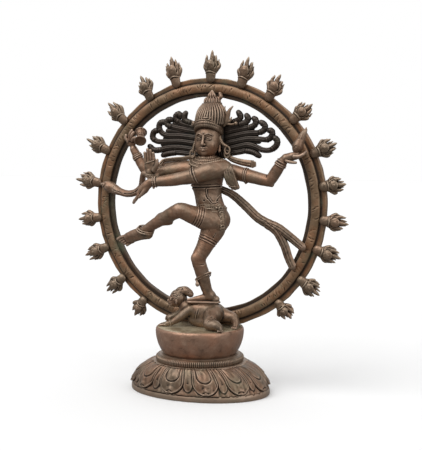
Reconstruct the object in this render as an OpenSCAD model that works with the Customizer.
// Dancing figure in a ring of flames, standing on a dwarf on an oval lotus base.
// Millimetres, +Z up, the figure faces -Y. The origin is at the middle of the foot of the base.
// Left and right in the names are the figure's own: its left is at +X.

/* [Ring] */
// Outer radius of the ring
ring_outer_r = 126; // [124:1:128]
// Inner radius of the ring
ring_inner_r = 107; // [105:1:108]
// Thickness of the flat ring, front to back
ring_t = 5; // [3:0.1:6]
// Width of the half-round moulding on the ring's front
moulding_w = 9.4; // [7:0.2:11]
// How far the moulding stands out of the ring's front
moulding_h = 4; // [2:0.5:4.5]
// Number of flames round the ring, an odd number so that one stands on top
flame_count = 19; // [11:2:19]
// Angle between two flames
flame_pitch = 16; // [14:0.5:16]
// Height of a flame above the ring's outer edge
flame_h = 27.5; // [20:0.5:32]

/* [Lotus base] */
// Width of the base, side to side
base_w = 145.4; // [130:0.2:180]
// Depth of the base, front to back
base_d = 102; // [96:1:140]
// Height of the plain lip round the foot
lip_h = 6; // [4:0.5:7]
// Wall of the hollow casting
wall = 4; // [3:0.5:5]
// Number of large petals
petal_count = 12; // [8:1:16]
// How far the petals stand out
petal_relief = 2.5; // [1:0.5:4]

/* [Collar and drum] */
// Width of the collar at its widest
collar_w = 89; // [84:1:92]
// Depth of the collar at its widest
collar_d = 86; // [80:1:88]
// Width of the drum at its widest
drum_w = 89; // [84:1:96]
// Depth of the drum at its widest
drum_d = 87; // [80:1:92]

/* [Fixings] */
// Diameter of the tie rod
rod_d = 5; // [4:0.5:6]
// Radial clearance round the tie rod
rod_gap = 0.3; // [0.1:0.1:0.6]

/* [Hidden] */
ring_z = 187;
ring_front = 16;
ring_mid_r = (ring_inner_r + ring_outer_r) / 2 - 1;
base_top = 31;
collar_top = 38.2;
drum_top = 65.5;
rod_at = [5, -3];
rod_bottom = 18;
rod_top = 91;
flame_names = [for (i = [1 : flame_count]) str("flame_", i < 10 ? "0" : "", i)];
// Hand work: how far each flame stands off its even place, in degrees, and its share of the full height
flame_shift = [-1.5, -2.2, -1, -2, -1, -0.5, 0.5, 2.2, 1.2, 2.7, 2.2, 0.7, 0.2, 2, 1.2, 0.3, -2.3, -2.5,
  -3.3];
flame_share = [0.70, 0.88, 1, 0.88, 1, 0.98, 0.95, 0.86, 1.02, 1, 0.97, 0.88, 0.84, 0.88, 0.80, 0.87, 0.88,
  0.82, 0.68];

brown = [0.42, 0.31, 0.24];
bronze = [0.50, 0.37, 0.28];
dark = [0.20, 0.17, 0.15];
steel = [0.62, 0.62, 0.60];

// ---------- helpers ----------

// A ball at [x, y, z, r]
module ball(p, n = 9) translate([p[0], p[1], p[2]]) sphere(p[3], $fn = n);

// A tapering round limb through a list of [x, y, z, r]
module limb(p, n = 9) for (i = [0 : len(p) - 2]) hull() { ball(p[i], n); ball(p[i + 1], n); }

// An ellipsoid with centre c and half sizes r
module egg(c, r, n = 20) translate(c) scale(r) sphere(1, $fn = n);

// A closed limb round an oval: c is its centre, a and b its half widths, tilt raises its +X side
module oval_band(c, a, b, r, tilt = 0, n = 14)
  for (k = [0 : n - 1])
    let (p = 360 * k / n, q = 360 * (k + 1) / n)
      limb([[c[0] + a * cos(p), c[1] + b * sin(p), c[2] + tilt * cos(p), r],
            [c[0] + a * cos(q), c[1] + b * sin(q), c[2] + tilt * cos(q), r]], 7);

// Points of an oval, at height z
function oval(a, b, z, n, relief = 0, lobes = 1) =
  [for (k = [0 : n - 1]) let (p = 360 * k / n,
    grow = relief * max(0, 1 - pow(2 * abs((p + 22.5) / 360 * lobes % 1 - 0.5), 3)))
    [(a + grow) * cos(p - 90), (b + grow) * sin(p - 90), z]];

// A closed solid through a list of rings, all with the same number of points, from below upwards
module stack(rings) {
  n = len(rings[0]);
  m = len(rings);
  pts = [for (r = rings) each r];
  polyhedron(pts, concat(
    [for (j = [0 : m - 2]) for (k = [0 : n - 1]) let (a = j * n + k, b = j * n + (k + 1) % n)
      each [[a, a + n, b], [b, a + n, b + n]]],
    [[for (k = [0 : n - 1]) k]],
    [[for (k = [n - 1 : -1 : 0]) (m - 1) * n + k]]), convexity = 4);
}

// ---------- base ----------

lip_a = base_w / 2;
lip_b = base_d / 2;
// Half sizes of the dome at a height: q runs from 0 at its axis to 1 at the lip
function dome_a(q) = 46 + (lip_a - 46) * q;
function dome_b(q) = 42.5 + (lip_b - 42.5) * q;
dome_profile = [[4.5, 0.97], [8, 0.95], [14, 0.88], [20, 0.72], [25, 0.50], [29, 0.24], [31, 0]];

module rod_bore(z0, z1)
  translate([rod_at[0], rod_at[1], z0]) cylinder(h = z1 - z0, r = rod_d / 2 + rod_gap, $fn = 32);

module lotus_base() color(brown) difference() {
  union() {
    linear_extrude(lip_h) polygon([for (p = oval(lip_a, lip_b, 0, 72)) [p[0], p[1]]]);
    stack([for (s = dome_profile) oval(dome_a(s[1]), dome_b(s[1]), s[0], 72,
      s[0] > 6 && s[0] < 28 ? petal_relief : 0, petal_count)]);
  }
  // the hollow, open at the foot
  stack([for (s = [[-1, 0.97], [6, 0.93], [12, 0.84], [18, 0.66], [23, 0.40], [base_top - wall, 0.05]])
    oval(dome_a(s[1]) - wall, dome_b(s[1]) - wall, s[0], 48)]);
  rod_bore(20, 40);
}

module beaded_collar() color(brown) difference() {
  a = collar_w / 2;
  b = collar_d / 2;
  stack([for (s = [[31, -3], [31.7, -1], [33, 0], [35, 0], [36.4, -0.7], [37.4, -2],
      [collar_top, -3.8]]) oval(a + s[1], b + s[1], s[0], 60)]);
  rod_bore(30, 40);
}

module pedestal_drum() color(brown) difference() {
  a = drum_w / 2;
  b = drum_d / 2;
  stack([for (s = [[collar_top, -7.8], [41.4, -5.2], [44.6, -3.6], [48.6, -1.9], [54, -0.6], [60, 0],
      [63.4, -0.4],
      [65, -1.3],
    [drum_top, -2.4]]) oval(a + s[1], b + s[1], s[0], 60)]);
  rod_bore(37, drum_top + 1);
  // slot for the ring and its tenon
  translate([0, ring_front, ring_z]) rotate([-90, 0, 0]) cylinder(h = ring_t, r = ring_outer_r, $fn = 180);
  translate([-6, ring_front, 54]) cube([12, ring_t, 12]);
}

module tie_rod() color(steel)
  translate([rod_at[0], rod_at[1], rod_bottom]) cylinder(h = rod_top - rod_bottom, r = rod_d / 2, $fn = 32);

module tie_washer() color(steel) translate([rod_at[0], rod_at[1], base_top - wall - 1.2]) difference() {
  cylinder(h = 1.2, r = 7, $fn = 48);
  translate([0, 0, -1]) cylinder(h = 4, r = rod_d / 2, $fn = 32);
}

module tie_nut() color(steel) translate([rod_at[0], rod_at[1], base_top - wall - 5.2]) difference() {
  cylinder(h = 4, r = 4.6, $fn = 6);
  translate([0, 0, -1]) cylinder(h = 6, r = rod_d / 2, $fn = 32);
}

// ---------- ring and flames ----------

// The ring's axis runs front to back; profile points are [radius, depth behind its front face]
module ring_solid() translate([0, ring_front, ring_z]) rotate([-90, 0, 0]) rotate_extrude($fn = 180) {
  polygon([[ring_inner_r, 0], [ring_outer_r, 0], [ring_outer_r, ring_t], [ring_inner_r, ring_t]]);
  intersection() {
    translate([ring_mid_r, 0]) circle(r = moulding_w / 2 * 1.01, $fn = 48);
    translate([ring_mid_r - 6, -moulding_h]) square([12, moulding_h + 1]);
  }
}

module halo_ring() color(brown) {
  ring_solid();
  // tenon that enters the drum
  translate([0, ring_front + ring_t, 0]) rotate([90, 0, 0]) linear_extrude(ring_t) difference() {
    translate([-6, 54.5]) square([12, 12]);
    translate([0, ring_z]) circle(r = ring_outer_r - 3, $fn = 180);
  }
}

// One flame, standing on the front of the rim along +Z from the ring's axis; share scales its height
module flame_shape(share = 1) {
  r0 = ring_outer_r;
  h = flame_h * share;
  // stem, flat behind where it lies on the rim
  translate([0, ring_front, 0]) rotate([90, 0, 0]) linear_extrude(4) {
    translate([0, r0 - 0.4]) circle(r = 4.9, $fn = 36);
    translate([-4.9, r0 - 0.4]) square([9.8, 4]);
  }
  // cup
  translate([0, 13.8, r0]) rotate_extrude($fn = 36)
    polygon([[0, 0.4], [4.6, 0.4], [5, 3], [5.8, 0.26 * h], [6.4, 0.4 * h], [5, 0.5 * h], [0, 0.52 * h]]);
  // tongues
  translate([0, 16.4, r0]) rotate([90, 0, 0]) linear_extrude(5)
    polygon([[-5.2, 0.20 * h], [-7.3, 0.50 * h], [-7.1, 0.72 * h], [-5.2, 0.60 * h], [-4.4, 0.86 * h],
      [-2.2, 0.72 * h], [-1.6, 0.92 * h], [0, h], [1.6, 0.90 * h], [2.4, 0.70 * h], [4.6, 0.84 * h],
      [5.2, 0.60 * h], [7.2, 0.70 * h], [7.3, 0.48 * h], [5.2, 0.20 * h]]);
}

// Flame i of flame_count, counted clockwise from the lower left as seen from the front
module flame(i) color(bronze) translate([0, 0, ring_z])
  rotate([0, flame_pitch * (i - (flame_count + 1) / 2) + flame_shift[i - 1], 0])
    flame_shape(flame_share[i - 1]);

// ---------- dwarf ----------

module dwarf_shape() {
  // body, face down with its head at -X, and the belly it lies on
  limb([[-13, -3, 82.4, 6.6], [-3, -3, 80.2, 8.4], [8, -3, 78.8, 9], [16, -3, 78.4, 9.2]], 10);
  limb([[-2, -3, 72, 6], [14, -3, 71, 7]], 10);
  egg([19.5, -5, 78.6], [8, 9, 8.6], 18);
  egg([-22, -3.5, 92.2], [9, 9, 9.2], 18);
  // bun of hair
  limb([[-19, -3, 99.4, 4.4], [-13, -2.6, 100.4, 4.6], [-8, -2.4, 98.2, 3.6]]);
  // arms, down to the drum
  limb([[-7.5, -9, 82, 4.6], [-14.4, -12.6, 76, 4], [-21.5, -15.4, 70.6, 3.1], [-28, -17, 67.6, 2.4],
        [-34.4, -17.6, 66.8, 1.4]]);
  limb([[-10, 3, 81.6, 4.4], [-22, 5.4, 76.6, 3.6], [-33, 6, 71, 3.4], [-36, 5, 69.4, 3.8]]);
  // legs, bent at the knee, and feet
  limb([[17, -7, 78.6, 8.2], [18.4, -16, 74, 7], [19.6, -21.6, 71.6, 5.8], [27, -24, 71.2, 5.2],
        [31.8, -25, 68.6, 3.4]]);
  limb([[19, 1, 79, 8], [29, 1, 76.6, 6], [37, 0, 75, 4.6], [39.6, -1.6, 70, 3.6], [40, -4, 67.2, 2]]);
  // broad back under the foot that stands on it
  limb([[6, -4, 72, 7], [6, -4, 82, 7]]);
  limb([[-8, -6, 83.6, 4.6], [15, -5.4, 83.2, 4.8], [19.5, -5, 82.4, 5.4]]);
}

module dwarf() color(brown) difference() {
  dwarf_shape();
  translate([-80, -80, drum_top - 30]) cube([160, 160, 30]);
  rod_bore(50, 95);
  translate([-40, ring_front, 40]) cube([80, 10, 60]);
  sole();
}

// ---------- legs ----------

// Sole plate under the standing foot
module sole() hull() {
  translate([16, 2.6, 88.5]) cylinder(h = 4, r = 5, $fn = 24);
  translate([-6, -8, 88.5]) cylinder(h = 4, r = 4.5, $fn = 24);
}

module standing_leg() color(brown) difference() {
  union() {
    sole();
    limb([[15, -1, 165, 12.4], [11, -5, 152, 9.2], [7.6, -8, 144, 8], [3.6, -11, 134, 7.2],
          [5, -8.4, 124, 6.8], [6.4, -4.8, 113, 6.1], [8.8, -1.6, 101.6, 5.2], [12, 0.8, 96.4, 4.8]], 10);
    limb([[15.4, 2.6, 93, 4.4], [5, -3, 94.2, 3.6], [-5, -7, 93.2, 2.4]]);
    for (t = [0 : 4]) limb([[0, -6 + t, 93.6, 1.8], [-9 + t * 1.3, -11 + t * 2, 92.8, 1.4]], 6);
    // hem, slanted anklet and its bell
    oval_band([9.9, -6, 150.2], 9, 9, 1.3, -4);
    oval_band([6, -5, 115.8], 7.2, 7.4, 0.9, 4.2, 10);
    limb([[1.6, -10, 113.4, 1.2], [2.4, -10.6, 110.6, 1.6], [2.4, -10.6, 108.4, 2.2]], 8);
  }
  torso_shape();
  raised_thigh();
  rod_bore(80, rod_top);
}

module raised_thigh()
  limb([[17, -1, 171, 14], [9, -8, 173.6, 11.2], [-1, -16, 177.8, 8.8], [-10.5, -22, 182.5, 7.6]], 10);

module raised_leg() color(brown) difference() {
  union() {
    raised_thigh();
    limb([[-10.5, -22, 182.5, 7.6], [-24, -20, 176.2, 6.6], [-40.4, -16, 168.4, 5.6],
        [-54, -11.6, 161, 4.7]], 10);
    // foot
    limb([[-50, -11.4, 156.6, 3.8], [-60, -9, 156.6, 5], [-72, -6, 154, 5.4], [-78.6, -4.8, 151.2, 4.2]]);
    for (t = [0 : 4])
      limb([[-83 + 2.4 * t, -4 - 0.5 * t, 152.6 - 1.25 * t, 1.9],
          [-91 + 2.9 * t, -2.4 - 0.5 * t, 149.6 - 1.4 * t, 1.5]], 6);
    // hem and anklet
    oval_band([2.2, -13.4, 176.6], 2.6, 9.2, 1.2, 0);
    oval_band([-55.4, -11.4, 160], 8.4, 6, 1, -2, 10);
  }
  torso_shape();
  ring_solid();
}

// ---------- body ----------

module torso_shape() {
  hull() { egg([16, 1, 173.4], [16, 12, 11]); egg([12.4, 0, 186], [14.8, 11, 7]); }
  hull() { egg([12.4, 0, 186], [14.8, 11, 7]); egg([9.2, 0, 196], [14.2, 10.3, 5]); }
  hull() { egg([9.2, 0, 196], [14.2, 10.3, 5]); egg([7.4, 0, 209], [17, 11, 6]); }
  hull() { egg([7.4, 0, 209], [17, 11, 6]); egg([8, 0, 221], [19.6, 10, 6]); }
  hull() { egg([8, 0, 221], [19.6, 10, 6]); egg([9, 0.6, 229.4], [13, 8.4, 4]); }
  limb([[9, 1, 228, 8.4], [9.4, 0, 240, 7.4]], 16);
}

module torso() color(brown) torso_shape();

// Beaded belt round the hips with a panel on the left side and a swag on the belly
module waist_belt() color(bronze) difference() {
  union() {
    oval_band([13, 0, 184], 15, 11.4, 1.4, -1.5, 16);
    for (k = [0 : 3]) limb([[25.6, -7.6, 183 - 5 * k, 2.2], [26.2, -7.8, 178 - 5 * k, 2.2]], 8);
    limb([[0, -7, 185.4, 1.2], [4, -10.6, 187, 1.2], [12, -11.6, 188, 1.2], [20, -10, 186, 1.2],
      [22, -9, 183, 1.2]], 6);
  }
  torso_shape();
  raised_thigh();
}

// One strand round the neck, its front hanging lower by drop
module strand(a, b, z, drop, r)
  for (p = [0 : 36 : 324])
    limb([for (q = [p, p + 36])
      [9 + a * sin(q), -0.4 - b * cos(q), z - drop * max(cos(q), -0.6 * cos(q)), r]], 6);

module necklace() color(bronze) difference() {
  union() {
    strand(9.4, 8.6, 233.6, 1.4, 1.4);
    strand(13, 10, 232.4, 3.4, 1.5);
    strand(16.8, 11.6, 231, 5.4, 1.6);
    limb([[0, -10.6, 221.6, 1.6], [3, -11.6, 218.6, 1.6], [6, -11.4, 221.4, 1.6]], 8);
  }
  torso_shape();
  head_shape();
  front_left_shape();
  front_right_shape();
}

module head_shape() {
  egg([9.4, -1, 252], [12.6, 11.8, 14], 24);
  egg([9.4, -3.5, 244], [10.4, 8.8, 8.8], 18);
  limb([[9.4, -12.6, 250.5, 1.2], [9.4, -13.8, 246.3, 2]], 8);
}

module head() color(brown) difference() {
  head_shape();
  torso_shape();
}

module crown_shape() {
  // band, tall dome of matted hair and crest leaf
  hull() { egg([9.4, 1.6, 258.6], [14, 11.6, 4], 24); egg([10, 0.6, 266.8], [14.6, 13, 3], 24); }
  hull() { egg([10, 0.6, 266.8], [14.6, 13, 3], 24); egg([11.2, 3, 277], [15.2, 11.8, 4], 24); }
  hull() { egg([11.2, 3, 277], [15.2, 11.8, 4], 24); egg([10.5, 6, 285.6], [11.8, 7.4, 2.4], 20); }
  hull() { egg([10.5, 6, 285.6], [11.8, 7.4, 2.4], 20); egg([10.4, 8, 291], [8.2, 3.8, 2], 16); }
  hull() { egg([10.4, 8, 291], [8.2, 3.8, 2], 16); ball([10.2, 8.4, 297.6, 1.8]); }
  egg([11.4, -12, 270.6], [4.6, 2, 2.6], 12);
  ball([-4.5, -4, 266.6, 3]);
}

module crown() color(brown) difference() {
  crown_shape();
  head_shape();
  ring_solid();
}

module moon_crescent() color(bronze) difference() {
  limb([[25, 2, 267, 2.4], [28, 2, 272, 3], [29.6, 2, 277, 2.4], [32, 2, 281.4, 1.5],
      [34.4, 2, 283.4, 0.8]], 10);
  crown_shape();
  hair_strands(1);
}

module earring(side) color(bronze) difference() {
  union() {
    limb(side > 0 ? [[22, -1, 252, 2], [25, -1.4, 247.6, 1.8], [29.6, -1, 243.6, 2], [29.4, 0, 237.4, 1.9]]
                  : [[-3.2, -2, 250, 1.8], [-4.6, -3, 244, 1.7], [-6, -3, 238, 2.2],
                      [-6.6, -3, 235, 1.8]], 10);
    ball(side > 0 ? [30, -1, 240.6, 2.9] : [-6, -3.4, 237.5, 2.8], 10);
  }
  head_shape();
  torso_shape();
  hair_strands(side);
}
module earring_left() earring(1);
module earring_right() earring(-1);

// Loose locks of hair, fanned out on both sides in the plane y = 9. Each list is one lock, [x, z].
left_locks = [
  [[12, 235], [37, 238.6], [46, 240], [54, 238.5], [60, 235]],
  [[14, 239], [39, 244.6], [48, 246], [56, 244], [63, 241], [71, 241], [77, 245], [78, 250], [75, 253]],
  [[18, 246], [39, 250.5], [50, 252], [60, 251.5], [68, 251], [72.5, 254.5], [72.5, 259], [69, 260]],
  [[20, 252], [39, 256], [50, 257.5], [60, 258], [65, 261], [65, 265], [61, 268]],
  [[20, 258], [39, 261.5], [50, 263], [55, 265.5], [56, 269.5], [53.5, 272]],
  [[20, 262], [37, 265.5], [44.5, 267.5], [48, 271], [46, 275]],
  [[20, 266], [36, 269.5], [40, 273.5], [37.5, 278]]];
right_locks = [
  [[4, 234.6], [-25, 238], [-37, 237.5], [-45, 235.5]],
  [[2, 239.4], [-25, 243.3], [-39, 243], [-48, 241], [-55, 241], [-60, 245]],
  [[-6, 247], [-25, 249.5], [-39, 249.5], [-50, 249.5], [-56, 253], [-55, 259], [-50, 261]],
  [[-6, 253], [-25, 255], [-39, 255.5], [-46, 258.5], [-49, 264], [-47, 268.5], [-41, 269]],
  [[-6, 259], [-23, 262], [-34.5, 264.5], [-40, 267], [-39, 271], [-34.5, 271.5]],
  [[-6, 263], [-21, 267], [-29, 271], [-30, 275], [-26.5, 277], [-24.5, 274]],
  [[-6, 266], [-19, 270], [-20.5, 275], [-19, 278]]];

module hair_strands(side) {
  for (lock = side > 0 ? left_locks : right_locks)
    limb([for (p = lock) [p[0], 9, p[1], 2.7]], 6);
  // webs between neighbouring locks, and the root plate behind the head
  locks = side > 0 ? left_locks : right_locks;
  for (k = [0 : len(locks) - 2]) let (a = locks[k], b = locks[k + 1])
    limb([[(a[0][0] + b[0][0]) / 2, 9, (a[0][1] + b[0][1]) / 2, 2],
          [(a[1][0] + b[1][0]) / 2, 9, (a[1][1] + b[1][1]) / 2, 2.2]], 6);
  limb([[side > 0 ? 22 : -7, 9, 236, 2.4], [side > 0 ? 24 : -9, 9, 266, 2.4]], 6);
}

module hair_fan(side) color(dark) difference() {
  hair_strands(side);
  head_shape();
  crown_shape();
  torso_shape();
  ring_solid();
}
module hair_fan_left() hair_fan(1);
module hair_fan_right() hair_fan(-1);

// ---------- arms ----------

module front_left_shape() {
  limb([[28, -4, 222.4, 8.6], [23, -8.6, 221.4, 8.6], [4.5, -17, 216.4, 7.8], [-12, -20.2, 213, 6.4],
        [-27, -22, 210.8, 5.6], [-42, -23, 209.3, 4.6]], 10);
  // hanging hand
  limb([[-42, -23, 209.3, 4.4], [-47, -23.4, 206, 4.6], [-51.4, -23.2, 201.4, 4.5],
      [-54.4, -23, 198, 3.8]]);
  for (t = [0 : 3]) limb([[-54.6, -25.4 + 1.6 * t, 197 + 0.6 * t, 1.9],
      [-58.4, -25 + 1.5 * t, 192.8 + 0.7 * t, 1.7],
    [-61.5, -24 + 1.3 * t, 189.4 + 0.8 * t, 1.3]], 6);
  limb([[-46.6, -26, 203.6, 2], [-49, -27.4, 198.8, 1.7], [-52, -27, 194.6, 1.3]], 6);
  // armlet and bracelet
  for (s = [[4, -17, 216.2, 8.2], [0.5, -17.8, 215.6, 8], [-37, -22.8, 209.9, 5.5],
      [-40.5, -23, 209.6, 5.3]])
    limb([[s[0], s[1], s[2], s[3]], [s[0] - 1.5, s[1] - 0.4, s[2] - 0.2, s[3]]], 10);
}

module front_left_arm() color(brown) difference() {
  front_left_shape();
  torso_shape();
}

module front_right_shape() {
  limb([[-9, 0, 222, 8.4], [-16, -2, 222, 7.6], [-30, -5, 220, 7], [-40, -8, 217.5, 6.6],
        [-44, -14, 214, 5.4], [-45.5, -18, 217.5, 4.4]], 10);
  // raised open hand
  hull() { ball([-45, -19.2, 219.6, 4.2]); ball([-48.4, -20, 229, 3]); ball([-39.6, -20, 228.4, 3.2]); }
  for (t = [0 : 3]) limb([[-49.6 + t * 3.1, -20, 230, 1.9], [-50 + t * 3.1, -20.5, 235, 1.8],
    [-50.2 + t * 3.1, -20.6, 239.4 - 1.1 * abs(t - 1.4), 1.5]], 6);
  limb([[-39.6, -20.6, 221.6, 2.8], [-36.6, -21.6, 226, 2.1], [-36.4, -21.8, 230.4, 1.5]], 6);
  oval_band([-45.5, -17.3, 216.4], 5, 4.6, 1.2, -1, 10);
}

module front_right_arm() color(brown) difference() {
  front_right_shape();
  torso_shape();
  front_left_shape();
}

module rear_left_shape() {
  limb([[25, 5, 221, 7.6], [41, 5.4, 217.6, 7.2], [56, 5, 214.4, 6.4], [72, 4, 211.4, 5.8],
      [79, 3.2, 220, 5.6],
        [85, 2.2, 228.4, 5], [89, 2, 233.6, 4]], 10);
  limb([[71.6, 4, 211, 5], [74, 4, 207.8, 2.4]], 10);
  // open hand that carries the flame
  limb([[89, 2, 233.2, 4], [96, 1.6, 234.6, 4.2], [101, 1.6, 235.6, 3.4]]);
  for (t = [0 : 3]) limb([[99, -1.4 + 1.8 * t, 234.6 + t * 0.3, 2],
      [104, -1.4 + 1.8 * t, 235 + t * 0.4, 1.8],
    [107.6, -1 + 1.6 * t, 236.6 + t * 0.5, 1.3]], 6);
  limb([[90.6, -0.6, 230.8, 1.9], [95.6, -1.6, 229.4, 1.6], [100.6, -1.8, 229, 1.3]], 6);
  for (s = [[47, 5.6, 216.4, 7.4], [84.4, 2.2, 227.6, 5.8]]) limb([s, s + [1.2, -0.2, 1, 0]], 10);
}

module rear_left_arm() color(brown) difference() {
  rear_left_shape();
  torso_shape();
  front_left_shape();
  ring_solid();
}

module rear_right_shape() {
  limb([[-8, 4, 222, 7.6], [-20, 6, 224, 6.8], [-42, 8, 222, 6.2], [-60, 6, 219.4, 6], [-66, 5, 225.4, 5.3],
        [-71, 4.6, 233, 4.6], [-75.6, 4, 242, 3.9]], 10);
  limb([[-75.6, 4, 242, 3.9], [-77.6, 4, 247, 4.6], [-78, 3.4, 250.6, 4.2]]);
  limb([[-80.6, 1.6, 249.8, 1.9], [-83, 1, 253, 1.7], [-82.8, 1, 255.4, 1.4]], 6);
  limb([[-78.4, 1.2, 251.6, 1.9], [-77.6, 0.6, 257.2, 1.6], [-75.8, 0.6, 260.6, 1.3]], 6);
  limb([[-76.4, 1, 251.2, 1.9], [-75.6, -0.8, 255.4, 1.6], [-73.6, -0.8, 258.4, 1.3]], 6);
  limb([[-76, 6.4, 250, 2], [-72.6, 7.6, 253, 1.6]], 8);
  for (s = [[-48, 7.6, 221.5, 6.8], [-71.4, 4.4, 234, 5.3]]) limb([s, s + [-1, -0.2, 1, 0]], 10);
}

module rear_right_arm() color(brown) difference() {
  rear_right_shape();
  torso_shape();
  front_right_shape();
  ring_solid();
  hand_drum_shape();
}

// Hourglass drum held in the rear right hand
module hand_drum_shape() translate([-67.6, 4, 254.6]) rotate([-49, -30, 0]) rotate_extrude($fn = 32)
  polygon([[0, -8.4], [5.6, -8.4], [6.2, -7.4], [5.4, -6.2], [2.8, -1], [2.8, 1], [5.4, 6.2], [6.2, 7.4],
    [5.6, 8.4], [0, 8.4]]);

module hand_drum() color(brown) hand_drum_shape();

module palm_flame() color(bronze) difference() {
  union() {
    limb([[99.8, 3, 239.8, 3.4], [100.8, 3, 243.8, 5.4], [102.4, 3.6, 248.6, 4.4]], 10);
    for (t = [-1 : 1])
      limb([[102 + 1.8 * t, 3.8, 247, 2.8], [104.4 + 1.7 * t, 4.4, 253, 2.5],
            [108.4 + 0.6 * t, 5.8, 262.4 - 1.4 * abs(t), 0.9]], 8);
  }
  rear_left_shape();
  ring_solid();
}

// ---------- cloth, ribbons, sash and cobra ----------

// Pleated end of the shawl that hangs over the left shoulder
module shoulder_cloth() color(brown) difference() {
  for (k = [0 : 3])
    limb([[30.4 + k * 2, -4 - k * 0.6, 229 - k * 0.8, 2.2], [33 + k * 2.2, -12 + k, 218, 2.5],
          [35.4 + k * 2, -8.6 + k, 206.4 - 0.8 * k, 2.6]], 8);
  torso_shape();
  front_left_shape();
  rear_left_shape();
}

module ribbon(p) for (i = [0 : len(p) - 2]) hull() for (q = [p[i], p[i + 1]])
  translate([q[0], q[1], q[2]]) sphere(q[3], $fn = 8);

module ribbon_left() color(bronze) difference() {
  ribbon([[26.6, 3, 236.6, 1.7], [33, 3, 232.4, 2.2], [41.4, 4, 229.4, 2.6], [49, 4, 228, 3],
      [54.6, 4, 227.2, 3.3]]);
  rear_left_shape();
  torso_shape();
  front_left_shape();
  earring_left();
}

module ribbon_right() color(bronze) difference() {
  ribbon([[-6, 1, 234, 1.6], [-18, 1, 232.6, 1.5], [-32, 2, 231.4, 1.5], [-40.6, 2, 230, 1.5],
      [-44.2, 0, 225.6, 1.4],
          [-46, -2, 221.4, 1.3]]);
  rear_right_shape();
  torso_shape();
  front_right_shape();
  earring_right();
  hair_strands(-1);
}

// Sash that flies out from the waist to the ring and hangs in two tails
module sash() color(brown) difference() {
  union() {
    limb([[20, 5, 202, 2.8], [32, 8, 197, 3.6], [45, 9, 186, 4], [58, 9, 175, 4], [76, 9, 166.5, 4.2]], 10);
    limb([[76, 9, 166.5, 4.2], [90, 9.5, 157.5, 4], [103, 9.5, 148, 3.6]], 10);
    limb([[76, 9, 166.5, 4.2], [85, 9.5, 148, 4], [93, 9.5, 129, 3.6]], 10);
  }
  torso_shape();
  ring_solid();
}

// Cobra that hangs from the forearm: loop behind the hand, neck and spread hood at the ring
module cobra() color(brown) difference() {
  limb([[-49, -18, 216, 2.3], [-55, -14.4, 217.2, 2.7], [-58.6, -9.6, 211, 3], [-62.6, -5.4, 203, 3.2],
        [-71, -3, 197.6, 3.4], [-81.4, 0, 196.2, 3.5], [-92.5, 4, 198, 3.9], [-101, 6.4, 200.6, 5],
        [-107, 7.6, 203, 5.4], [-112.4, 8, 204.4, 3.4]], 10);
  front_right_shape();
  front_left_shape();
  ring_solid();
}

// ---------- the model ----------

lotus_base();
beaded_collar();
pedestal_drum();
tie_rod();
tie_washer();
tie_nut();
halo_ring();
dwarf();
standing_leg();
raised_leg();
torso();
waist_belt();
necklace();
shoulder_cloth();
head();
crown();
moon_crescent();
earring_left();
earring_right();
hair_fan_left();
hair_fan_right();
front_left_arm();
front_right_arm();
rear_left_arm();
rear_right_arm();
hand_drum();
palm_flame();
ribbon_left();
ribbon_right();
sash();
cobra();
for (i = [1 : flame_count]) flame(i);
